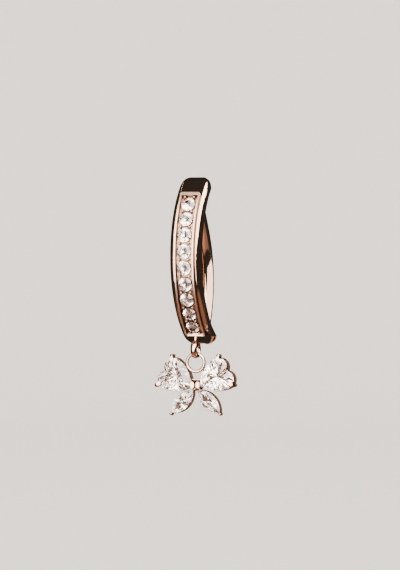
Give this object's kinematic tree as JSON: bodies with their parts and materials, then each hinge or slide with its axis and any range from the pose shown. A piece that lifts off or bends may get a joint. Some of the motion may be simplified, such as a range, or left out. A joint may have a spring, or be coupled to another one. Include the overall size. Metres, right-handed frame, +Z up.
{
  "type": "hinged belly button ring with butterfly dangle",
  "caption": "Hinged belly button ring in rose-gold-coloured steel: curved band with a channel of round clear stones, round back bar, and a hanging butterfly of clear hearts and marquises",
  "frame": {"origin": "the middle of the round bar that goes through the piercing", "axes": "+Y points into the body, so the stones face -Y; +X is across the ring and +Z is up"},
  "size_m": [0.0078, 0.0071, 0.0217],
  "materials": {
    "rose_metal": "mirror-polished steel with a rose-gold-coloured coating",
    "clear_stone": "clear faceted cubic zirconia"
  },
  "bodies": {
    "bar": {"back_bar": "rose_metal"},
    "band": {"front_band": "rose_metal", "stone_1": "clear_stone", "stone_2": "clear_stone", "stone_3": "clear_stone", "stone_4": "clear_stone", "stone_5": "clear_stone", "stone_6": "clear_stone", "stone_7": "clear_stone", "stone_8": "clear_stone", "stone_9": "clear_stone", "hinge_pin": "rose_metal"},
    "charm": {"charm_frame": "rose_metal", "heart_left": "clear_stone", "heart_right": "clear_stone", "marquise_left": "clear_stone", "marquise_right": "clear_stone"}
  },
  "joints": [
    {"name": "clicker_hinge", "type": "hinge", "parent": "bar", "child": "band", "pos_m": [0, -0.001, -0.00518], "axis": [1, 0, 0], "range_deg": [0, 75]},
    {"name": "charm_swing", "type": "hinge", "parent": "band", "child": "charm", "pos_m": [0, -0.00272, -0.00709], "axis": [0, 1, 0], "range_deg": [-35, 35]}
  ]
}
